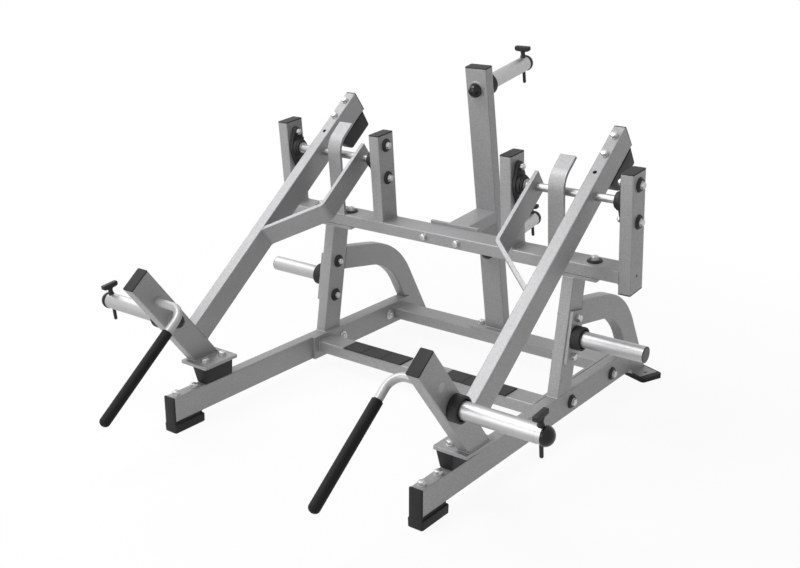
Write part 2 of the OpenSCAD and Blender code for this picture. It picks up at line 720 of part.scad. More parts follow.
// The handle's axis on the front tube's outer face
module at_handle() { at_pivot() translate([arm_out, -boom_reach, handle_n]) children(); }
module at_grip() { at_pivot() translate([grip_x, -boom_reach, handle_n]) rotate([90, 0, 0]) children(); }
module handle() {
    at_handle() rod_x(handle_d, grip_x + handle_r - arm_out, 8);
    at_pivot() translate([grip_x + handle_r, -boom_reach - handle_r, handle_n])
        rotate([0, 0, 90]) rotate_extrude(angle = 90) translate([handle_r, 0]) circle(d = handle_d);
    at_grip() translate([0, 0, handle_r]) cylinder(d = handle_d, h = grip_end - handle_r - 6);
}
module grip() {
    at_grip() difference() {
        union() {
            translate([0, 0, grip_start]) cylinder(d = grip_d, h = grip_end - grip_start - 5);
            translate([0, 0, grip_end - 5]) cylinder(d1 = grip_d, d2 = grip_d - 8, h = 5);
        }
        translate([0, 0, grip_start - 1]) cylinder(d = handle_d + 2 * fit, h = grip_end - grip_start - 5);
    }
}
module at_lever_horn() { at_pivot() translate([arm_out, -boom_reach, horn_n]) rotate([0, 90, 0]) children(); }
module lever_horn() { at_lever_horn() sleeve(0, 0, sleeve_l, pin_at, lever_pin_turn); }
module lever_collar() { at_lever_horn() collar(); }
module bumper() {
    top_w = 56;
    low_w = 44;
    difference() {
        intersection() {
            translate([rail_x - top_w / 2, 0, rail_top]) rotate([90, 0, 90]) linear_extrude(top_w)
                polygon([[foot_y - 57, 0], [foot_y + 58, 0], [foot_y + 56, bumper_h], [foot_y - 68, bumper_h]]);
            translate([rail_x, foot_y + 100, rail_top]) rotate([90, 0, 0]) linear_extrude(200)
                polygon([[-low_w / 2, 0], [low_w / 2, 0], [top_w / 2, bumper_h], [-top_w / 2, bumper_h]]);
        }
        block_bolt_axes() bolt_hole(plate_t + 30);
    }
}
module stop_block() {
    at_pivot() difference() {
        translate([arm_x - 22, 0, -tube_d / 2]) rotate([90, 0, 90]) linear_extrude(44)
            polygon([[stop_mid - 85, 0], [stop_mid + 66, 0], [stop_mid + 64, -stop_t], [stop_mid - 56, -stop_t]]);
        stop_bolt_axes() bolt_hole(tube_d + 30);
    }
}
module lever_caps() {
    at_pivot() {
        translate([arm_x, arm_tail, 0]) rotate([-90, 0, 0]) tube_cap(tube_w, tube_d);
        translate([arm_x, -boom_reach, boom_top]) tube_cap(tube_w, tube_d);
    }
    at_lever_horn() translate([0, 0, sleeve_l]) dome_cap(sleeve_d);
}
module lever_bolts() {
    at_pivot() stop_bolt_axes() bolt(tube_d + 28);
    block_bolt_axes() bolt(plate_t + 28);
}
module lever_pin() {
    at_lever_horn() translate([0, 0, pin_at]) rotate([0, 0, lever_pin_turn]) rotate([90, 0, 0]) locking_pin();
}
module mast_pin(w) { at_horn(w) translate([0, 0, pin_at]) rotate([90, 0, 0]) locking_pin(); }

color(steel) machine() left() base_rail();  // left_base_rail
color(steel) machine() base_rail();  // right_base_rail
color(black) machine() left() front_shoe();  // left_front_shoe
color(black) machine() front_shoe();  // right_front_shoe
color(steel) machine() crossbar(front_bar_y);  // front_crossbar
color(steel) machine() crossbar(rear_bar_y);  // rear_crossbar
color(steel) machine() both() side_plate();  // side_plates
color(black) machine() left() tread();  // left_tread
color(black) machine() tread();  // right_tread
color(steel) machine() left() upright();  // left_upright
color(steel) machine() upright();  // right_upright
color(steel) machine() left() rear_leg();  // left_rear_leg
color(steel) machine() rear_leg();  // right_rear_leg
color(black) machine() left() rear_pad();  // left_rear_pad
color(black) machine() rear_pad();  // right_rear_pad
color(steel) machine() crossbeam();
color(steel) machine() both() inner_post();  // inner_posts
color(steel) machine() both() outer_post();  // outer_posts
color(steel) machine() both() guard_bar();  // guard_bars
color(steel) machine() mast_bracket();
color(steel) machine() mast();
color(bright) machine() { mast_horn(upper_horn_w); mast_horn(lower_horn_w); }  // mast_horns
color(steel) machine() both() storage_bracket();  // storage_brackets
color(bright) machine() both() storage_horn();  // storage_horns
color(black) machine() horn_collars();
color(black) machine() frame_caps();
color(black) machine() left() bearings();  // left_bearings
color(black) machine() bearings();  // right_bearings
color(bright) machine() both() bearing_bolts();
color(bright) machine() frame_bolts();
color(black) machine() frame_washers();
color(steel) machine() left() arm();  // left_arm
color(steel) machine() left() front_tube();  // left_front_tube
color(steel) machine() left() brace();  // left_brace
color(bright) machine() left() shaft();  // left_shaft
color(steel) machine() left() handle();  // left_handle
color(black) machine() left() grip();  // left_grip
color(bright) machine() left() lever_horn();  // left_horn
color(black) machine() left() lever_collar();  // left_horn_collar
color(black) machine() left() bumper();  // left_bumper
color(black) machine() left() stop_block();  // left_stop_block
color(black) machine() left() lever_caps();  // left_lever_caps
color(bright) machine() left() lever_bolts();  // left_lever_bolts
color(steel) machine() arm();  // right_arm
color(steel) machine() front_tube();  // right_front_tube
color(steel) machine() brace();  // right_brace
color(bright) machine() shaft();  // right_shaft
color(steel) machine() handle();  // right_handle
color(black) machine() grip();  // right_grip
color(bright) machine() lever_horn();  // right_horn
color(black) machine() lever_collar();  // right_horn_collar
color(black) machine() bumper();  // right_bumper
color(black) machine() stop_block();  // right_stop_block
color(black) machine() lever_caps();  // right_lever_caps
color(bright) machine() lever_bolts();  // right_lever_bolts
color(black) machine() left() lever_pin();  // left_lever_pin
color(black) machine() lever_pin();  // right_lever_pin
color(black) machine() mast_pin(upper_horn_w);  // upper_mast_pin
color(black) machine() mast_pin(lower_horn_w);  // lower_mast_pin
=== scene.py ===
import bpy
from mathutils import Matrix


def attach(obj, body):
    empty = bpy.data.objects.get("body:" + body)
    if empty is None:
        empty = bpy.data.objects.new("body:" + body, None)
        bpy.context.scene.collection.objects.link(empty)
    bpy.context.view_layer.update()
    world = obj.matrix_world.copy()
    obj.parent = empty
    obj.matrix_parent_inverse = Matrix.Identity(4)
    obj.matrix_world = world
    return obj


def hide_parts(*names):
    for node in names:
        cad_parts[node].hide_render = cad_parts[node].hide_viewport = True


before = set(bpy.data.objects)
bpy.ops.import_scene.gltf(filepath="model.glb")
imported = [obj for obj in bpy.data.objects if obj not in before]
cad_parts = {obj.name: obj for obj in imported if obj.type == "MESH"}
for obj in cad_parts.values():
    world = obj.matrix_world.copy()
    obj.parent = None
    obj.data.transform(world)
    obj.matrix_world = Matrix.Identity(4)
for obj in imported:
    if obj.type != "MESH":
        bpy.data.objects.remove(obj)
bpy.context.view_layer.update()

import math
import bpy
import numpy as np
from mathutils import Matrix

# The studio: a camera at the photograph's place, a white floor that keeps a soft shadow,
# and three soft lamps. The camera's place comes from the straight edges in the photograph.
scene = bpy.context.scene
scene.view_settings.view_transform = "Standard"

azimuth, elevation = math.radians(37.02), math.radians(18.869)
level = math.cos(elevation)
back = np.array([math.sin(azimuth) * level, -math.cos(azimuth) * level, math.sin(elevation)])
right = np.array([math.cos(azimuth), math.sin(azimuth), 0.0])
lens = bpy.data.cameras.new("studio_camera")
lens.lens, lens.sensor_width = 50.0, 36.0
lens.clip_start, lens.clip_end = 0.05, 60.0
camera = bpy.data.objects.new("studio_camera", lens)
stand = np.eye(4)
stand[:3, :3] = np.column_stack([right, np.cross(back, right), back])
stand[:3, 3] = [1.950, -2.56836, 1.5325]
camera.matrix_world = Matrix(stand.tolist())
scene.collection.objects.link(camera)
scene.camera = camera


def add(tree, kind, inputs=None, **settings):
    """Adds one shader node: settings are its properties, and each input is a value or the socket that feeds it."""
    made = tree.nodes.new("ShaderNode" + kind)
    for key, value in settings.items():
        setattr(made, key, value)
    for key, value in (inputs or {}).items():
        if isinstance(value, bpy.types.NodeSocket):
            tree.links.new(value, made.inputs[key])
        else:
            made.inputs[key].default_value = value
    return made


def seen_directly(tree):
    """1 for camera, glossy and transmission rays: those show the background instead of lighting the machine."""
    path = add(tree, "LightPath")
    rays = [path.outputs[f"Is {kind} Ray"] for kind in ("Camera", "Glossy", "Transmission")]
    either = add(tree, "Math", {0: rays[0], 1: rays[1]}, operation="MAXIMUM")
    return add(tree, "Math", {0: either.outputs[0], 1: rays[2]}, operation="MAXIMUM").outputs[0]


world = bpy.data.worlds.new("studio")
scene.world = world
world.use_nodes = True
tree = world.node_tree
tree.nodes.clear()
lighting = add(tree, "Background", {"Color": (0.80, 0.80, 0.80, 1), "Strength": 0.33})
showing = add(tree, "Background", {"Color": (1, 1, 1, 1), "Strength": 1.0})
mixed = add(tree, "MixShader", {0: seen_directly(tree), 1: lighting.outputs[0], 2: showing.outputs[0]})
add(tree, "OutputWorld", {"Surface": mixed.outputs[0]})

# The floor glows white to the eye, a little less close to the machine, where its matt share holds the shadow.
paper = bpy.data.materials.new("studio_floor")
paper.use_nodes = True
tree = paper.node_tree
tree.nodes.clear()
from_middle = add(tree, "VectorMath", {0: add(tree, "TexCoord").outputs["Object"]}, operation="LENGTH")
glow_share = {"Value": from_middle.outputs["Value"], "From Min": 0.9, "From Max": 2.6, "To Min": 0.93, "To Max": 1.0}
share = add(tree, "MapRange", glow_share, interpolation_type="SMOOTHSTEP")
matt = add(tree, "BsdfDiffuse", {"Color": (0.86, 0.86, 0.86, 1)})
glow = add(tree, "Emission", {"Color": (1, 1, 1, 1), "Strength": 1.0})
lit = add(tree, "MixShader", {0: share.outputs[0], 1: matt.outputs[0], 2: glow.outputs[0]})
mixed = add(tree, "MixShader", {0: seen_directly(tree), 1: matt.outputs[0], 2: lit.outputs[0]})
add(tree, "OutputMaterial", {"Surface": mixed.outputs[0]})
floor_half = 30
corners = [(x * floor_half, y * floor_half, 0) for x, y in ((-1, -1), (1, -1), (1, 1), (-1, 1))]
mesh = bpy.data.meshes.new("studio_floor")
mesh.from_pydata(corners, [], [(0, 1, 2, 3)])
mesh.materials.append(paper)
floor = bpy.data.objects.new("studio_floor", mesh)
scene.collection.objects.link(floor)


def lamp(name, spot, aim, size, watts):
    """A square soft lamp at a spot, turned so that its face looks at the aim point."""
    data = bpy.data.lights.new(name, "AREA")
    data.shape, data.size, data.energy = "SQUARE", size, watts
    made = bpy.data.objects.new(name, data)
    away = np.subtract(spot, aim) / np.linalg.norm(np.subtract(spot, aim))
    side = np.cross([0.0, 1.0, 0.01], away)
    side /= np.linalg.norm(side)
    turned_to = np.eye(4)
    turned_to[:3, :3] = np.column_stack([side, np.cross(away, side), away])
    turned_to[:3, 3] = spot
    made.matrix_world = Matrix(turned_to.tolist())
    scene.collection.objects.link(made)


lamp("key_lamp", (-1.1, -1.2, 3.5), (0.1, 0.0, 0.4), 1.9, 84)
lamp("side_lamp", (-3.4, 0.4, 2.2), (0, 0.1, 0.4), 2.4, 40)
lamp("front_lamp", (-0.9, -4.0, 1.5), (0, 0.1, 0.4), 2.2, 50)


# The floor frame: two base rails, two crossbars and the side plates that tie them together.
# All are 80 by 40 mm steel tube and 10 mm plate, welded and bolted, then powder coated in silver.
# The coat holds fine metal flakes, so its faces show light and dark grains.
def group(name, inputs, outputs):
    """Starts a shader node group: inputs are (name, kind, value) and outputs are (name, kind)."""
    made = bpy.data.node_groups.new(name, "ShaderNodeTree")
    for label, kind, value in inputs:
        socket = made.interface.new_socket(label, in_out="INPUT", socket_type="NodeSocket" + kind)
        socket.default_value = value
    for label, kind in outputs:
        made.interface.new_socket(label, in_out="OUTPUT", socket_type="NodeSocket" + kind)
    return made, made.nodes.new("NodeGroupInput"), made.nodes.new("NodeGroupOutput")


def use(tree, made, inputs=None):
    """Places a node group in a material with its own values."""
    placed_group = tree.nodes.new("ShaderNodeGroup")
    placed_group.node_tree = made
    for key, value in (inputs or {}).items():
        if isinstance(value, bpy.types.NodeSocket):
            tree.links.new(value, placed_group.inputs[key])
        else:
            placed_group.inputs[key].default_value = value
    return placed_group


def material(name, **values):
    """A new material with one Principled shader: its constant values go on the shader's own sockets."""
    made = bpy.data.materials.new(name)
    made.use_nodes = True
    tree = made.node_tree
    tree.nodes.clear()
    shader = add(tree, "BsdfPrincipled", {key.replace("_", " "): value for key, value in values.items()})
    add(tree, "OutputMaterial", {"Surface": shader.outputs[0]})
    return made, tree, shader


def grey(value, tint=0.0):
    """A grey with a little more blue by the tint."""
    return value, value, value + tint, 1


def between(tree, factor, dark, light):
    """The colour between dark and light by a factor."""
    return add(tree, "Mix", {"Factor": factor, 6: dark, 7: light}, data_type="RGBA").outputs[2]


# Metal flakes: two sizes of noise make light and dark grains, and a slow one makes soft clouds.
flakes, come, go = group("metal_flakes",
    [("Dark", "Color", grey(0.3)), ("Light", "Color", grey(0.5)),
     ("Grains per metre", "Float", 270.0), ("Cloud", "Float", 0.1)],
    [("Color", "Color"), ("Grain", "Float"), ("Roughness", "Float")])
where = add(flakes, "TexCoord").outputs["Object"]
grain_size = come.outputs["Grains per metre"]
grain = add(flakes, "TexNoise", {"Vector": where, "Scale": grain_size, "Detail": 3.0, "Roughness": 0.7})
fine = add(flakes, "TexVoronoi", {"Vector": where, "Scale": 1500.0})
spark = add(flakes, "SeparateColor", {"Color": fine.outputs["Color"]})
both_grains = add(flakes, "Mix", {"Factor": 0.22, 2: grain.outputs["Fac"], 3: spark.outputs[0]}, data_type="FLOAT")
sharper = add(flakes, "MapRange", {"Value": both_grains.outputs[0], "From Min": 0.30, "From Max": 0.70})
clouds = add(flakes, "TexNoise", {"Vector": where, "Scale": 5.0, "Detail": 2.0})
cloud_range = {"Value": clouds.outputs["Fac"], "From Min": 0.3, "From Max": 0.7, "To Min": -0.5, "To Max": 0.5}
cloud = add(flakes, "MapRange", cloud_range)
drift_inputs = {0: cloud.outputs[0], 1: come.outputs["Cloud"], 2: sharper.outputs[0]}
drift = add(flakes, "Math", drift_inputs, operation="MULTIPLY_ADD", use_clamp=True)
tone = between(flakes, drift.outputs[0], come.outputs["Dark"], come.outputs["Light"])
rough = add(flakes, "MapRange", {"Value": sharper.outputs[0], "To Min": 0.52, "To Max": 0.44})
flakes.links.new(tone, go.inputs["Color"])
flakes.links.new(sharper.outputs[0], go.inputs["Grain"])
flakes.links.new(rough.outputs[0], go.inputs["Roughness"])

# Rounded edges: looks a little way to each side of a point, and gives the softened normal and a mask of the edges.
edges, come, go = group("rounded_edges",
    [("Height", "Float", 0.0), ("Depth", "Float", 0.0002)], [("Normal", "Vector"), ("Edge", "Float")])
soft = add(edges, "Bevel", {"Radius": 0.0014}, samples=6)
plain = add(edges, "NewGeometry")
facing = add(edges, "VectorMath", {0: soft.outputs[0], 1: plain.outputs["True Normal"]}, operation="DOT_PRODUCT")
edge = add(edges, "MapRange", {"Value": facing.outputs["Value"], "From Min": 0.995, "From Max": 0.86})
bump = {"Height": come.outputs["Height"], "Distance": come.outputs["Depth"], "Strength": 1.0, "Normal": soft.outputs[0]}
grainy = add(edges, "Bump", bump)
edges.links.new(grainy.outputs[0], go.inputs["Normal"])
edges.links.new(edge.outputs[0], go.inputs["Edge"])

silver_coat, tree, shader = material("silver_coat", Metallic=0.38, Coat_Weight=0.08, Coat_Roughness=0.4, IOR=1.5)
coat = use(tree, flakes, {"Dark": grey(0.25, 0.005), "Light": grey(0.42, 0.006), "Cloud": 0.08})
round_off = use(tree, edges, {"Height": coat.outputs["Grain"], "Depth": 0.00012})
# Painted highlight: the edge mask lifts the coat's colour to a light grey along every edge, where a rounded edge would
# catch the light.
coat_with_painted_edge_highlight = between(tree, round_off.outputs["Edge"], coat.outputs["Color"], grey(0.56, 0.005))
tree.links.new(coat_with_painted_edge_highlight, shader.inputs["Base Color"])
tree.links.new(coat.outputs["Roughness"], shader.inputs["Roughness"])
tree.links.new(round_off.outputs["Normal"], shader.inputs["Normal"])


def finish(made, *names):
    """Gives CAD nodes a material in all their slots."""
    for name in names:
        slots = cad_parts[name].data.materials
        slots.clear()
        slots.append(made)


finish(silver_coat, "left_base_rail", "right_base_rail", "front_crossbar", "rear_crossbar", "side_plates")


# The front shoes: a moulded black rubber pad under each rail's front end, with a cover that
# closes the tube's end and a narrower neck that seats the rail.
def place(y, z, lean):
    """The matrix from an assembly's own axes in millimetres to the machine's in metres: a lean about X, a shift."""
    c, s = math.cos(math.radians(lean)), math.sin(math.radians(lean))
    middle_y = 533.537
    leaning = np.array([[1, 0, 0, 0], [0, c, -s, y - middle_y], [0, s, c, z], [0, 0, 0, 1.0]])
    return np.diag([0.001, 0.001, 0.001, 1]) @ leaning


def shift(x, y, z):
    """A move by x, y and z."""
    return np.array([[1, 0, 0, x], [0, 1, 0, y], [0, 0, 1, z], [0, 0, 0, 1.0]])


def turn(axis, degrees):
    """A turn about one axis, right-handed."""
    c, s = math.cos(math.radians(degrees)), math.sin(math.radians(degrees))
    a, b = {"x": (1, 2), "y": (2, 0), "z": (0, 1)}[axis]
    made = np.eye(4)
    made[a, a] = made[b, b] = c
    made[a, b], made[b, a] = -s, s
    return made


floor_at = place(0, 0, 0)
mirrored = np.diag([-1.0, 1.0, 1.0, 1.0])
sides = (("right", np.eye(4)), ("left", mirrored))


def box_outline(width, depth, radius, steps=5):
    """A rectangle about the middle, anticlockwise: a quarter circle of the radius is set in each corner."""
    angle = np.radians(np.arange(4)[:, None] * 90 + np.linspace(0, 90, steps))
    x = np.array([1, -1, -1, 1])[:, None] * (width / 2 - radius) + radius * np.cos(angle)
    y = np.array([1, 1, -1, -1])[:, None] * (depth / 2 - radius) + radius * np.sin(angle)
    return np.stack([x, y], -1).reshape(-1, 2)


def skin(points, ends=True, loop=False):
    """A skin over rings of points: four-sided faces join neighbouring rings, loop joins the last ring to the first,
    and ends closes the two end rings with a fan to their middles."""
    rings, around = points.shape[:2]
    i, j = np.meshgrid(np.arange(rings if loop else rings - 1), np.arange(around), indexing="ij")
    up, on = (i + 1) % rings, (j + 1) % around
    corners = [i * around + j, i * around + on, up * around + on, up * around + j]
    faces = np.stack(corners, -1).reshape(-1, 4).tolist()
    verts = points.reshape(-1, 3)
    if ends and not loop:
        verts = np.vstack([verts, points[0].mean(0), points[-1].mean(0)])
        j = np.arange(around)
        on, top, n = (j + 1) % around, (rings - 1) * around, len(verts)
        faces += np.stack([np.full(around, n - 2), on, j], -1).tolist()
        faces += np.stack([np.full(around, n - 1), top + j, top + on], -1).tolist()
    return verts, faces


def loft(*sections):
    """Rounded rectangles stacked up the Z axis and skinned. A section is (z, width, depth, corner radius, x, y)."""
    rings = []
    for z, width, depth, radius, x, y in sections:
        outline = box_outline(width, depth, radius) + (x, y)
        rings.append(np.c_[outline, np.full(len(outline), z)])
    return skin(np.array(rings, float))


def placed(parts, *spots):
    """The (skin, matrix) parts again at each spot."""
    return [(part, spot @ at) for spot in spots for part, at in parts]


def piece(name, parts, made, body, slot, *stands_for, angle=32):
    """One object from (skin, matrix) parts. A mirrored part has its faces turned so that they point outwards again."""
    verts, faces, count = [], [], 0
    for (points, quads), matrix in parts:
        verts.append((np.c_[points, np.ones(len(points))] @ matrix.T)[:, :3])
        step = -1 if np.linalg.det(matrix[:3, :3]) < 0 else 1
        faces += [[v + count for v in face[::step]] for face in quads]
        count += len(points)
    mesh = bpy.data.meshes.new(name)
    mesh.from_pydata(np.vstack(verts).tolist(), [], faces)
    mesh.polygons.foreach_set("use_smooth", np.ones(len(mesh.polygons), bool))
    mesh.set_sharp_from_angle(angle=math.radians(angle))
    mesh.materials.append(made)
    mesh.update()
    whole = bpy.data.objects.new(name, mesh)
    scene.collection.objects.link(whole)
    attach(whole, body)
    if stands_for:
        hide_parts(*stands_for)


# Moulded grain: fine pits for the bump, and slow smears that change the colour and the sheen a little.
rubber_grain, come, go = group("moulded_grain",
    [("Dark", "Color", grey(0.02)), ("Light", "Color", grey(0.04)), ("Pits per metre", "Float", 900.0)],
    [("Color", "Color"), ("Pits", "Float"), ("Roughness", "Float")])
where = add(rubber_grain, "TexCoord").outputs["Object"]
pit_noise = {"Vector": where, "Scale": come.outputs["Pits per metre"], "Detail": 2.0, "Roughness": 0.6}
pits = add(rubber_grain, "TexNoise", pit_noise)
smears = add(rubber_grain, "TexNoise", {"Vector": where, "Scale": 14.0, "Detail": 4.0, "Roughness": 0.6})
smear = add(rubber_grain, "MapRange", {"Value": smears.outputs["Fac"], "From Min": 0.35, "From Max": 0.7})
tone = between(rubber_grain, smear.outputs[0], come.outputs["Dark"], come.outputs["Light"])
rough = add(rubber_grain, "MapRange", {"Value": smear.outputs[0], "To Min": 0.54, "To Max": 0.66})
rubber_grain.links.new(tone, go.inputs["Color"])
rubber_grain.links.new(pits.outputs["Fac"], go.inputs["Pits"])
rubber_grain.links.new(rough.outputs[0], go.inputs["Roughness"])


def black_finish(name, dark, light, depth, pits, **values):
    """A black moulded, cast or painted finish: the grain group for colour, pits and roughness, with soft edges."""
    made, tree, shader = material(name, **values)
    tones = {"Dark": grey(dark, dark * 0.03), "Light": grey(light, light * 0.03), "Pits per metre": pits}
    cover = use(tree, rubber_grain, tones)
    round_off = use(tree, edges, {"Height": cover.outputs["Pits"], "Depth": depth})
    tree.links.new(cover.outputs["Color"], shader.inputs["Base Color"])
    if "Roughness" not in values:
        tree.links.new(cover.outputs["Roughness"], shader.inputs["Roughness"])
    tree.links.new(round_off.outputs["Normal"], shader.inputs["Normal"])
    return made


block_rubber = black_finish("block_rubber", 0.012, 0.021, 0.00015, 900.0, Specular_IOR_Level=0.28)
rail_x, rail_top = 464, 116
shoe_pad = loft((0, 45, 118, 5, 0, 60), (2, 49, 122, 6, 0, 60), (24.5, 50, 123, 6, 0, 60), (27, 48.5, 121.5, 6, 0, 60),
                (28, 45, 118, 5, 0, 60), (28, 37, 110, 4, 0, 62), (36, 36, 110, 4, 0, 62))
shoe_cover = loft((-6, 42, 112, 2.5, 0, 0), (-1.6, 42, 112, 2.5, 0, 0), (-0.5, 41, 111, 2.5, 0, 0),
                  (0, 38.5, 108.5, 2.5, 0, 0))
shoe = [(shoe_pad, shift(rail_x, 0, 0)), (shoe_cover, shift(rail_x, 0.2, 60.5) @ turn("x", 90))]
for side, flip in sides:
    shoe_parts = placed(shoe, floor_at @ flip)
    piece(f"{side}_shoe", shoe_parts, block_rubber, "frame", "block_rubber", f"{side}_front_shoe")

# The treads: two thin rubber mats on the front crossbar, each in three finely pitted panels.
# The user stands on them between the levers.
tread_rubber = black_finish("tread_rubber", 0.030, 0.044, 0.0003, 1300.0, Specular_IOR_Level=0.25)
tread_x, tread_y, panel_step = 203, 695, 81.8
backing = loft((96, 243, 72, 2, 0, 0), (96.4, 244, 73, 2, 0, 0), (98.4, 244, 73, 2, 0, 0), (99, 243, 72, 2, 0, 0))
panel = loft((98.6, 78.4, 67, 2, 0, 0), (99.8, 78, 66.6, 2, 0, 0), (100.2, 77, 65.6, 1.6, 0, 0))
mat = [(backing, shift(tread_x, tread_y, 0))]
mat += [(panel, shift(tread_x + panel_step * i, tread_y, 0)) for i in (-1, 0, 1)]
for side, flip in sides:
    mat_parts = placed(mat, floor_at @ flip)
    piece(f"{side}_tread_mat", mat_parts, tread_rubber, "frame", "tread_rubber", f"{side}_tread")

# The uprights, the rear legs and the rubber pads under their foot plates.
# The legs are bent tube welded to the uprights, and each foot plate sits in a ribbed rubber tray.
finish(silver_coat, "left_upright", "right_upright", "left_rear_leg", "right_rear_leg")
finish(block_rubber, "left_rear_pad", "right_rear_pad")

# The crossbeam with its four posts, the two bent guard bars, the mast and the plate horns' brackets.
# The posts are welded to the beam, which leans back by 5 degrees, and the mast by 10.
finish(silver_coat, "crossbeam", "inner_posts", "outer_posts", "guard_bars", "mast_bracket", "mast", "storage_brackets")
upright_at = place(703, rail_top, -9.5)
beam_at = place(761.9, 534.6, 5)
mast_at = place(1111, 106, 10)


# The frame's welds: one small rippled bead round each joint, laid before the silver coat.
def bead(outline, size=2.0):
    """A weld bead round a closed outline at height 0: a circle of the bead's size is carried along points a step
    apart, and swells once in each ripple as the welder's hand moves on."""
    step, ripple = 1.1, 3.2
    ring = np.vstack([outline, outline[:1]])
    along = np.concatenate([[0], np.cumsum(np.linalg.norm(np.diff(ring, axis=0), axis=1))])
    at = np.linspace(0, along[-1], int(along[-1] / step), endpoint=False)
    path = np.stack([np.interp(at, along, ring[:, 0]), np.interp(at, along, ring[:, 1])], -1)
    chord = np.roll(path, -2, 0) - np.roll(path, 2, 0)
    chord /= np.linalg.norm(chord, axis=1, keepdims=True)
    swell = (size * (0.88 + 0.2 * np.abs(np.sin(np.pi * at / ripple))))[:, None]
    angle = np.linspace(0, 2 * np.pi, 8, endpoint=False)
    out = np.stack([chord[:, 1], -chord[:, 0]], -1)[:, None, :] * (swell * np.cos(angle))[..., None]
    return skin(np.concatenate([path[:, None, :] + out, (-swell * np.sin(angle))[..., None]], -1), loop=True)


def circle(radius, around=48):
    """Points round a circle, anticlockwise."""
    angle = np.linspace(0, 2 * np.pi, around, endpoint=False)
    return radius * np.stack([np.cos(angle), np.sin(angle)], -1)


upright_tube = bead(box_outline(40, 80, 4))
bar_end = bead(box_outline(80, 40, 4))
on_side_plate = turn("z", 90) @ turn("x", 90)
mid_depth, inner_post_x, beam_end_x = 40, 249, 625
plate_face_x, bar_z, rear_bar_y = 434, 76, 1126
side_joints = [
    (upright_tube, beam_at @ shift(inner_post_x, mid_depth, 0)),
    (upright_tube, beam_at @ shift(beam_end_x, mid_depth, -20) @ turn("y", 90)),
    (bead(box_outline(52, 10, 1)), beam_at @ shift(421, 5, 0)),
    (bead(box_outline(40, 81.1, 4)), floor_at @ shift(rail_x, 743.56, rail_top)),
    (bar_end, floor_at @ shift(plate_face_x, 701.5, bar_z) @ on_side_plate),
    (bar_end, floor_at @ shift(plate_face_x, rear_bar_y, bar_z) @ on_side_plate),
]
upper_horn, lower_horn = 879, 305
joints = [(part, flip @ at) for _, flip in sides for part, at in side_joints]
joints.append((bead(box_outline(80, 40.6, 4)), floor_at @ shift(0, 1131.3, 106)))
joints += [(bead(circle(25.2)), mast_at @ shift(0, 0, w) @ turn("x", -90)) for w in (upper_horn, lower_horn)]
piece("frame_welds", joints, silver_coat, "frame", "silver_paint", angle=70)

# The tube caps: moulded black plugs with a flat lid and a fine step round the edge, pressed into
# the open ends of the posts and the mast.
cap_plastic = black_finish("cap_plastic", 0.026, 0.036, 0.00008, 1600.0, Specular_IOR_Level=0.22)


def tube_cap(width, depth):
    """A lid as wide as its tube: a fine step below it shows as a dark line, and its top edge is rounded. A level is
    its height, how much wider than the tube it is, and its corner radius."""
    levels = [(-2, -7, 1), (0, -7, 1), (0, -1.4, 3), (0.9, -1.4, 3), (0.9, 0.2, 4), (3.2, 0.2, 4), (4.0, -1.2, 3.4),
              (4.25, -12, 2)]
    return loft(*[(z, width + wider, depth + wider, radius, 0, 0) for z, wider, radius in levels])


outer_post_x, post_height = 645, 290
post_ends = [beam_at @ shift(x, mid_depth, post_height) for x in (inner_post_x, outer_post_x)]
post_ends.append(beam_at @ shift(outer_post_x, mid_depth, -68) @ turn("x", 180))
caps = [(tube_cap(40, 80), flip @ at) for _, flip in sides for at in post_ends]
caps.append((tube_cap(80, 40), mast_at @ shift(0, 20, 946)))
piece("post_caps", caps, cap_plastic, "frame", "cap_plastic", "frame_caps")


# The plate horns: bright plated steel sleeves for 50 mm weight plates, two on the uprights for
# storage and two through the mast. Each has a rubber collar at its root and a black plastic end.
def turned(profile, around=48, loop=False):
    """A turned shape: each (radius, height) point of the profile is carried round the Z axis."""
    profile = np.array(profile, float)
    ring = circle(1.0, around)
    heights = np.broadcast_to(profile[:, None, 1:], (len(profile), around, 1))
    return skin(np.concatenate([profile[:, None, :1] * ring, heights], -1), ends=not loop, loop=loop)


def arc(radius, height, size, start, end, steps=7):
    """Profile points on an arc about (radius, height), between two angles in degrees."""
    angle = np.radians(np.linspace(start, end, steps))
    return np.stack([radius + size * np.cos(angle), height + size * np.sin(angle)], -1)


def crown(radius, foot, height, start):
    """Profile points over a dome: a quarter of an ellipse that stands on the foot's height."""
    angle = np.radians(np.linspace(start, 89.5, 20))
    return np.stack([radius * np.cos(angle), foot + height * np.sin(angle)], -1)


drawn, come, go = group("drawn_metal",
    [("Dark", "Color", grey(0.4)), ("Light", "Color", grey(0.5))], [("Color", "Color"), ("Roughness", "Float")])
where = add(drawn, "TexCoord").outputs["Object"]
haze = add(drawn, "TexNoise", {"Vector": where, "Scale": 60.0, "Detail": 5.0, "Roughness": 0.65})
dull = add(drawn, "MapRange", {"Value": haze.outputs["Fac"], "From Min": 0.3, "From Max": 0.7})
tone = between(drawn, dull.outputs[0], come.outputs["Light"], come.outputs["Dark"])
rough = add(drawn, "MapRange", {"Value": dull.outputs[0], "To Min": 0.43, "To Max": 0.47})
drawn.links.new(tone, go.inputs["Color"])
drawn.links.new(rough.outputs[0], go.inputs["Roughness"])


def bright_finish(name, dark, light, tint=0.0):
    """A bright metal: the drawn group for its colour and roughness, which change in soft patches."""
    made, tree, shader = material(name, Metallic=1.0, IOR=1.5)
    plating = use(tree, drawn, {"Dark": grey(dark, tint), "Light": grey(light, tint)})
    tree.links.new(plating.outputs["Color"], shader.inputs["Base Color"])
    tree.links.new(plating.outputs["Roughness"], shader.inputs["Roughness"])
    return made


plated_steel = bright_finish("plated_steel", 0.43, 0.47, 0.005)
finish(plated_steel, "mast_horns", "storage_horns")

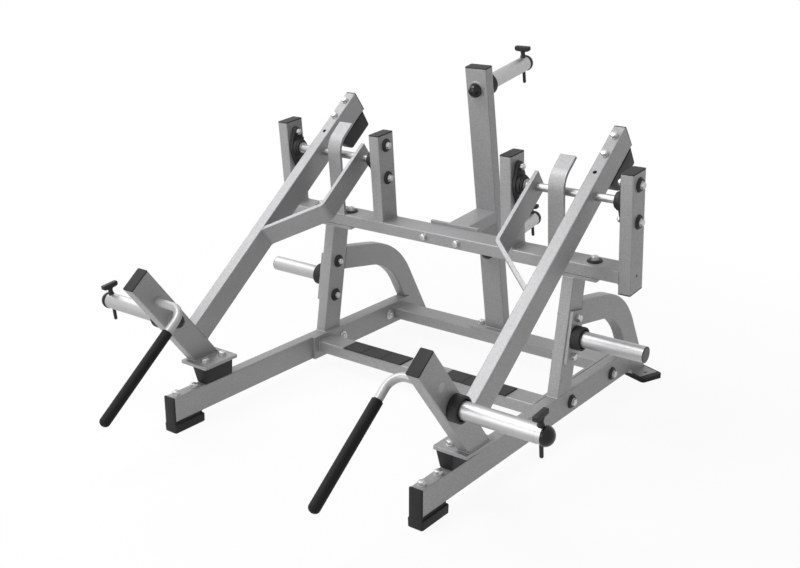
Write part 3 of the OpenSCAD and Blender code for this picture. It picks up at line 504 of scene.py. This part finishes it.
gloss_plastic = black_finish("gloss_plastic", 0.005, 0.008, 0.00002, 1600.0, Roughness=0.16, Specular_IOR_Level=0.32)
collar_rubber = black_finish("collar_rubber", 0.014, 0.024, 0.00012, 1100.0, Specular_IOR_Level=0.32)
dome = turned(np.vstack([[(20.8, -2.5), (24.4, -0.2)], arc(25.4, 0.8, 0.8, -70, 60, 5), [(25.4, 2.2)],
                         arc(26.3, 3.0, 0.7, -60, 60, 4), crown(27.0, 3.4, 24.0, 4)]))
small_dome = turned(np.vstack([[(20.8, -2.5), (23.3, -0.2)], arc(23.0, 0.7, 0.7, -60, 60, 4),
                               crown(23.5, 1.2, 23.6, 3)]))
end_disc = turned([(20.8, -2.5), (24.6, -0.2), (25.0, 0.3), (25.0, 1.5), (24.5, 2.0), (23.4, 2.0), (23.0, 1.2),
                   (22.6, 1.2), (22.2, 2.0), (0.5, 2.1)])
collar_ring = turned(np.vstack([[(24.7, 0), (36.2, 0)], arc(36.2, 0.8, 0.8, -90, 0, 3), [(37, 25.5)],
                                arc(34.8, 27.8, 2.2, 0, 90, 5), [(31.2, 30)], arc(31.2, 29, 1.0, 90, 180, 3),
                                [(29.6, 15.5), (28.6, 14.6), (28.0, 15.2), (27.6, 21.4), (27.0, 22), (25.2, 22),
                                 (24.7, 21.5)]]), 64, loop=True)
rib = loft((14.2, 3.6, 1.6, 0.3, 28.9, 0), (22.6, 3.0, 1.3, 0.3, 29.1, 0), (23.6, 2.2, 0.8, 0.2, 29.3, 0))
collar = [(collar_ring, np.eye(4))] + [(rib, turn("z", 30 * i)) for i in range(12)]

storage_at = upright_at @ shift(494, mid_depth, 190) @ turn("y", 90)
mast_horns_at = [mast_at @ shift(0, 40, w) @ turn("x", -90) for w in (upper_horn, lower_horn)]
storage_end, horn_end = shift(0, 0, 229), shift(0, 0, 259)
storages = [flip @ storage_at for _, flip in sides]
collars = placed(collar, *storages, *mast_horns_at)
piece("frame_horn_collars", collars, collar_rubber, "frame", "collar_rubber", "horn_collars")
ends = [(end_disc, root @ storage_end) for root in storages] + [(dome, root @ horn_end) for root in mast_horns_at]
ends += [(small_dome, root @ shift(0, 0, -48) @ turn("x", 180)) for root in mast_horns_at]
piece("frame_horn_ends", ends, gloss_plastic, "frame", "cap_plastic", "frame_caps")

# The flange bearings: black painted castings, bolted in pairs inside the posts, that carry the
# levers' shafts. Each has two bolt pads, a stepped boss and a grease nipple.
black_casting = black_finish("black_casting", 0.010, 0.018, 0.0004, 420.0, Specular_IOR_Level=0.42)
bolt_out, pad_r, boss_r = 55, 17, 35


def flange(inset, height):
    """The flange's outline at a height: arcs of a large circle in the middle and a small one round each bolt hole,
    joined by their common tangents, all drawn in by the inset."""
    angle = np.radians(np.arange(0, 360, 5))
    out = np.stack([np.cos(angle), np.sin(angle)], -1)
    at_end = bolt_out * np.abs(out[:, :1]) + pad_r > boss_r
    centre = np.where(at_end, np.stack([bolt_out * np.sign(out[:, 0]), 0 * angle], -1), 0)
    return np.c_[centre + out * (np.where(at_end, pad_r, boss_r) - inset), np.full(len(angle), height)]


levels = [(0.6, 0), (0, 0.6), (0.6, 8.5), (1.6, 10.4), (4.5, 11.2), (7.5, 11.4)]
flange_skin = skin(np.array([flange(inset, height) for inset, height in levels]))
boss = turned(np.vstack([[(18.2, 6.0), (32.5, 10.9)], arc(32.5, 13.4, 2.4, -90, -175, 4), [(29.6, 19.6)],
                         arc(27.8, 19.8, 1.8, 0, 90, 4), [(26.4, 21.6), (25.8, 22.4), (25.4, 26.6)],
                         arc(24.0, 26.6, 1.4, 0, 90, 4), [(19.4, 28.0), (18.2, 27.0)]]), 56, loop=True)
bolt_pad = turned([(10, 8), (14.2, 10.6), (12.8, 13.4), (12.2, 14.0), (5, 14.0)], 32)
nipple = turned([(2.6, 0), (2.6, 3.4), (3.6, 3.6), (3.6, 6.0), (2.2, 6.6), (1.6, 8.2), (2.1, 9.6), (1.2, 10.8),
                 (0.3, 11)], 16)
casting = [(flange_skin, np.eye(4)), (boss, np.eye(4)), (bolt_pad, shift(bolt_out, 0, 0)),
           (bolt_pad, shift(-bolt_out, 0, 0)), (nipple, turn("z", 35) @ shift(27.5, 0, 16.5) @ turn("y", 90))]
shaft_height = 200
inner_bearing = beam_at @ shift(269, mid_depth, shaft_height) @ turn("y", 90)
outer_bearing = beam_at @ shift(625, mid_depth, shaft_height) @ turn("y", -90)
for side, flip in sides:
    castings = placed(casting, flip @ inner_bearing, flip @ outer_bearing)
    piece(f"{side}_cast_bearings", castings, black_casting, "frame", "black_casting", f"{side}_bearings")


# The bolts: bright zinc hexagon heads and nuts on thin washers. Where tubes are bolted to tubes and
# plates, a black cup washer lies under them, but a zinc one on the rails' inner sides.
def hexagon(height, flat=19.0, top=1.6):
    """A hexagon head: the hexagon's radius at each angle, cut by a cone near the top, whose radius falls with the
    height."""
    angle = np.linspace(0, 2 * np.pi, 48, endpoint=False)
    side_radius = flat / 2 / np.cos((angle + np.pi / 6) % (np.pi / 3) - np.pi / 6)
    levels = np.array([0, height - 3.2, height - 2.4, height - 1.8, height - 1.2, height - top * 0.3, height])
    cone = flat * np.array([1, 0.575, 0.55, 0.52, 0.49, 0.44, 0.40])
    radius = np.minimum(side_radius, cone[:, None])
    heights = np.broadcast_to(levels[:, None], radius.shape)
    return skin(np.stack([radius * np.cos(angle), radius * np.sin(angle), heights], -1))


zinc_steel = bright_finish("zinc", 0.46, 0.60)
thin_washer = turned([(6.2, 0), (11.6, 0), (12, 0.3), (12, 1.4), (11.6, 1.7), (6.2, 1.7)], 40, loop=True)
head = [(thin_washer, np.eye(4)), (hexagon(11.6, flat=21.0), shift(0, 0, 1.0))]
small_head = [(thin_washer, np.eye(4)), (hexagon(8.6), shift(0, 0, 1.0))]
shank_end = turned([(5.2, -1), (6.0, 0), (6.0, 10), (5.2, 11), (0.5, 11.2)], 32)
nut = [(hexagon(8.4, top=1.2), np.eye(4)), (shank_end, np.eye(4))]
zinc_washer = turned([(6.1, 0), (17.4, 0), (18, 0.6), (18, 2.2), (17.3, 2.8), (13.0, 3.0), (12.5, 4.0), (6.1, 4.0)],
                     40, loop=True)
flat_t, cup_t = 4, 7


def cup(radius, thick=cup_t):
    """A black washer: its face falls away to a rounded rim."""
    rim = arc(radius - 1.0, 1.2, 1.0, -60, 40, 4)
    face = [(radius - 4.5, thick - 0.2), (8.0, thick), (6.1, thick)]
    return turned(np.vstack([[(6.1, 0), (radius - 0.4, 0)], rim, face]), 56, loop=True)


under, on_top = [], []
down, over_cup, over_flat = turn("x", 180), shift(0, 0, cup_t), shift(0, 0, flat_t)
outwards, inwards = turn("y", 90), turn("y", -90)
through_tube = shift(0, 0, -50) @ down
for _, flip in sides:
    for y in (30, 102):
        on_top += placed(head, floor_at @ flip @ shift(rail_x, y, rail_top))
    for y in (790, 1062):
        outer = floor_at @ flip @ shift(rail_x + 20, y, bar_z) @ outwards
        inner = floor_at @ flip @ shift(plate_face_x, y, bar_z) @ inwards
        under.append((cup(22.5), outer))
        on_top += placed(small_head, outer @ over_cup) + placed(nut, inner @ over_flat) + [(zinc_washer, inner)]
    for s in (-1, 1):
        on_beam = flip @ beam_at @ shift(rail_x + 66 * s, mid_depth, 0)
        under.append((cup(24, flat_t), on_beam))
        on_top += placed(head, on_beam @ over_flat) + placed(nut, on_beam @ through_tube)
        bracket = flip @ storage_at @ shift(60 * s, 0, 0)
        under.append((cup(22.5), bracket @ through_tube))
        on_top += placed(head, bracket) + placed(nut, bracket @ through_tube @ over_cup)
        post = flip @ beam_at @ shift(0, mid_depth, shaft_height + bolt_out * s)
        outer = post @ shift(outer_post_x + 20, 0, 0) @ outwards
        inner = post @ shift(inner_post_x - 20, 0, 0) @ inwards
        under += [(cup(22), outer), (cup(22), inner)]
        on_top += placed(small_head, outer @ over_cup, inner @ over_cup)
        on_top += placed(nut, post @ shift(611, 0, 0) @ inwards, post @ shift(283, 0, 0) @ outwards)
for s in (-1, 1):
    front = beam_at @ shift(63.5 * s, 0, -18) @ turn("x", 90)
    on_top += placed(head, front) + placed(nut, front @ shift(0, 0, -90) @ down)
    on_top += placed(head, floor_at @ shift(65 * s, rear_bar_y, 106))
washer_rubber = black_finish("washer_rubber", 0.010, 0.016, 0.00006, 1400.0, Specular_IOR_Level=0.40)
piece("black_cup_washers", under, washer_rubber, "frame", "black_washer", "frame_washers")
piece("frame_fasteners", on_top, zinc_steel, "frame", "zinc_fastener", "frame_bolts", "bearing_bolts")

# The levers' frames: each is an arm, a front tube with a foot plate, and a bent flat brace, all
# welded. They share one pivot line, and the arm's front end meets the front tube's back face.
finish(silver_coat, "left_arm", "right_arm", "left_front_tube", "right_front_tube", "left_brace", "right_brace")
pivot_at = place(784.317, 737.325, 37.7)
arm_x, arm_in, arm_out, reach, handle_up = 512.5, 492.5, 532.5, 808, 215.4
foot_y, foot_top = 193.863, 180
lever_horn_at = pivot_at @ shift(arm_out, -reach, 122) @ turn("y", 90)
lever_joints = [
    (upright_tube, pivot_at @ shift(arm_x, 40 - reach, 0) @ turn("x", 90)),
    (bead(box_outline(40, 101.1, 4)), floor_at @ shift(arm_x, foot_y, foot_top)),
    (bead(box_outline(75, 15.7, 1)), pivot_at @ shift(arm_in, -372.3, 0) @ turn("y", 90)),
    (bead(circle(12.9), 1.6), pivot_at @ shift(arm_in, -reach, handle_up) @ turn("y", 90)),
    (bead(circle(24.8), 1.6), lever_horn_at @ shift(0, 0, -40)),
]
for side, flip in sides:
    weld_parts = placed(lever_joints, flip)
    piece(f"{side}_lever_welds", weld_parts, silver_coat, f"{side}_lever", "silver_paint", angle=70)

# The pivot shafts and the handles: ground bright bar through the bearings, and round tube with a
# tight bend, coated in smooth silver, that ends inside the grips.
bright_bar = bright_finish("bright_bar", 0.42, 0.56)
finish(bright_bar, "left_shaft", "right_shaft")
satin_silver, tree, shader = material(
    "satin_silver", Metallic=0.25, Roughness=0.40, Coat_Weight=0.1, Coat_Roughness=0.3, IOR=1.5)
tones = {"Dark": grey(0.40, 0.005), "Light": grey(0.47, 0.005), "Grains per metre": 900.0, "Cloud": 0.05}
coat = use(tree, flakes, tones)
tree.links.new(coat.outputs["Color"], shader.inputs["Base Color"])
finish(satin_silver, "left_handle", "right_handle")
grip_x, bend_r = 385, 45
bend = np.radians(np.linspace(0, 90, 19))
corner = np.stack([grip_x + bend_r - bend_r * np.sin(bend), -reach - bend_r + bend_r * np.cos(bend)], -1)
path = np.vstack([[(arm_out, -reach), (arm_out - 1, -reach)], corner, [(grip_x, -860), (grip_x, -1190)]])
heading = np.vstack([[(-1, 0), (-1, 0)], np.stack([-np.cos(bend), -np.sin(bend)], -1), [(0, -1), (0, -1)]])
wall = circle(12.5)
wall_x = path[:, :1] + heading[:, 1:] * wall[:, 0]
wall_y = path[:, 1:] - heading[:, :1] * wall[:, 0]
handle = skin(np.stack([wall_x, wall_y, np.broadcast_to(handle_up + wall[:, 1], wall_x.shape)], -1))
for side, flip in sides:
    piece(f"{side}_bent_handle", [(handle, flip @ pivot_at)], satin_silver, f"{side}_lever", "silver_paint",
          f"{side}_handle", angle=50)

# The grips: rubber sleeves with a raised diamond pattern, a plain band at each end and a rounded
# closed tip, pushed over the handles' tubes.
grip_rubber = black_finish("grip_rubber", 0.008, 0.013, 0.0001, 1200.0, Specular_IOR_Level=0.15)
grip_start, grip_end, tip_l, turns, pitch = 82, 407, 14, 7, 3.1
diamonds_start, diamonds_end = 92, 386
along = np.linspace(grip_start, grip_end, 190)[:, None]
around = np.linspace(0, 2 * np.pi, 84, endpoint=False)[None, :]
grooves = [np.abs(np.sin(turns * around + lean * along / pitch)) ** 6 for lean in (1, -1)]
diamonds = np.clip(1.15 - grooves[0] - grooves[1], 0, 1)
band = np.clip(np.minimum(along - diamonds_start, diamonds_end - along) / 1.2, 0, 1)
open_end = np.clip(0.86 + (along - grip_start) / 8, 0, 1)
round_tip = np.sqrt(np.clip(1 - (np.clip(along - (grip_end - tip_l), 0, tip_l) / (tip_l + 0.2)) ** 2, 0, 1))
radius = (15.75 + 0.35 * diamonds * band + 0.25 * (1 - band)) * (round_tip * open_end)
grip = skin(np.stack([radius * np.cos(around), radius * np.sin(around), np.broadcast_to(along, radius.shape)], -1))
grip_at = pivot_at @ shift(grip_x, -reach, handle_up) @ turn("x", 90)
for side, flip in sides:
    piece(f"{side}_rubber_grip", [(grip, flip @ grip_at)], grip_rubber, f"{side}_lever", "grip_rubber",
          f"{side}_grip", angle=60)

# The levers' plate horns: the same plated sleeves, collars and domes as on the mast. The root comes
# out on the front tube's inner face, where a smaller dome closes it.
finish(plated_steel, "left_horn", "right_horn")
end_plastic = black_finish("end_plastic", 0.013, 0.020, 0.00008, 1600.0, Specular_IOR_Level=0.22)
root_ring = turned([(21, -49), (24, -49), (24.5, -48.5), (24.5, -38), (21, -38)], loop=True)
horn_ends = [(dome, horn_end), (small_dome, shift(0, 0, -49) @ turn("x", 180))]
lever_caps = [(tube_cap(40, 80), pivot_at @ shift(arm_x, 234, 0) @ turn("x", -90)),
              (tube_cap(40, 80), pivot_at @ shift(arm_x, -reach, 318))]
for side, flip in sides:
    body, caps_node, at_root = f"{side}_lever", f"{side}_lever_caps", flip @ lever_horn_at
    piece(f"{side}_collar", placed(collar, at_root), collar_rubber, body, "collar_rubber", f"{side}_horn_collar")
    piece(f"{side}_root_ring", [(root_ring, at_root)], plated_steel, body, "plated_sleeve")
    piece(f"{side}_horn_ends", placed(horn_ends, at_root), gloss_plastic, body, "cap_plastic", caps_node)
    piece(f"{side}_tube_caps", placed(lever_caps, flip), end_plastic, body, "cap_plastic", caps_node)

# The bumpers under the foot plates and the stop blocks under the arms' back ends: moulded rubber,
# tapered towards the face that lands, with rounded corners, and bolted through.
bumper = loft((116, 40, 111, 5, 0, 0.5), (117.8, 43.6, 114.8, 6, 0, 0.4), (166, 54.6, 123, 6, 0, -5.4),
              (168.6, 55.4, 123.4, 6, 0, -5.8), (170, 53, 121, 5, 0, -6))
stop_block = loft((-100, 38, 114, 6, 0, 165.3), (-98, 42, 118, 7, 0, 165.0), (-95.5, 43.2, 120.4, 7, 0, 164.4),
                  (-43, 44, 148.6, 5, 0, 152.3), (-40, 44, 150.6, 4, 0, 151.8))
bolt_spots = [pivot_at @ shift(arm_x, u, 40) for u in (125.3, 197.3)]
bolt_spots += [floor_at @ shift(rail_x, foot_y + y, foot_top) for y in (-36, 36)]
for side, flip in sides:
    body = f"{side}_lever"
    piece(f"{side}_rubber_bumper", [(bumper, floor_at @ flip @ shift(rail_x, foot_y, 0))], block_rubber, body,
          "block_rubber", f"{side}_bumper")
    piece(f"{side}_rubber_stop", [(stop_block, flip @ pivot_at @ shift(arm_x, 0, 0))], block_rubber, body,
          "block_rubber", f"{side}_stop_block")
    bolts = placed(head, *[flip @ spot for spot in bolt_spots])
    piece(f"{side}_lever_fasteners", bolts, zinc_steel, body, "zinc_fastener", f"{side}_lever_bolts")

# The locking pins: a black coated rod with a moulded T handle drops through each plate horn near
# its end and keeps the plates on. The rod's tip is rounded.
black_pin = black_finish("black_pin", 0.010, 0.017, 0.00006, 1500.0, Specular_IOR_Level=0.42)
neck = [(5.4, 24), (9.6, 25.4), (9.8, 27.0), (8.4, 29.6), (7.4, 33), (7.2, 38), (8.0, 42), (9.4, 46), (9.4, 48)]
rod = turned(np.vstack([arc(0.2, -61, 5.2, -88, 0, 7), neck]), 32)
bar = loft((44, 34, 11, 2, 0, 0), (45.5, 46, 13.5, 2, 0, 0), (48, 53, 15.5, 2.2, 0, 0), (50, 55, 16, 2.2, 0, 0),
           (58.6, 55, 16, 2.2, 0, 0), (60, 54, 15, 2.2, 0, 0), (60.8, 51, 12.5, 2, 0, 0))
at_pin, pin_up = shift(0, 0, 250), turn("x", 90)
lever_pin_at = lever_horn_at @ at_pin @ turn("z", -121.1) @ pin_up
pins = {"right_lever_pin": lever_pin_at, "left_lever_pin": mirrored @ lever_pin_at,
        "upper_mast_pin": mast_horns_at[0] @ at_pin @ pin_up, "lower_mast_pin": mast_horns_at[1] @ at_pin @ pin_up}
for node, at in pins.items():
    piece(node + "_handle", [(rod, at), (bar, at)], black_pin, node, "black_pin", node)
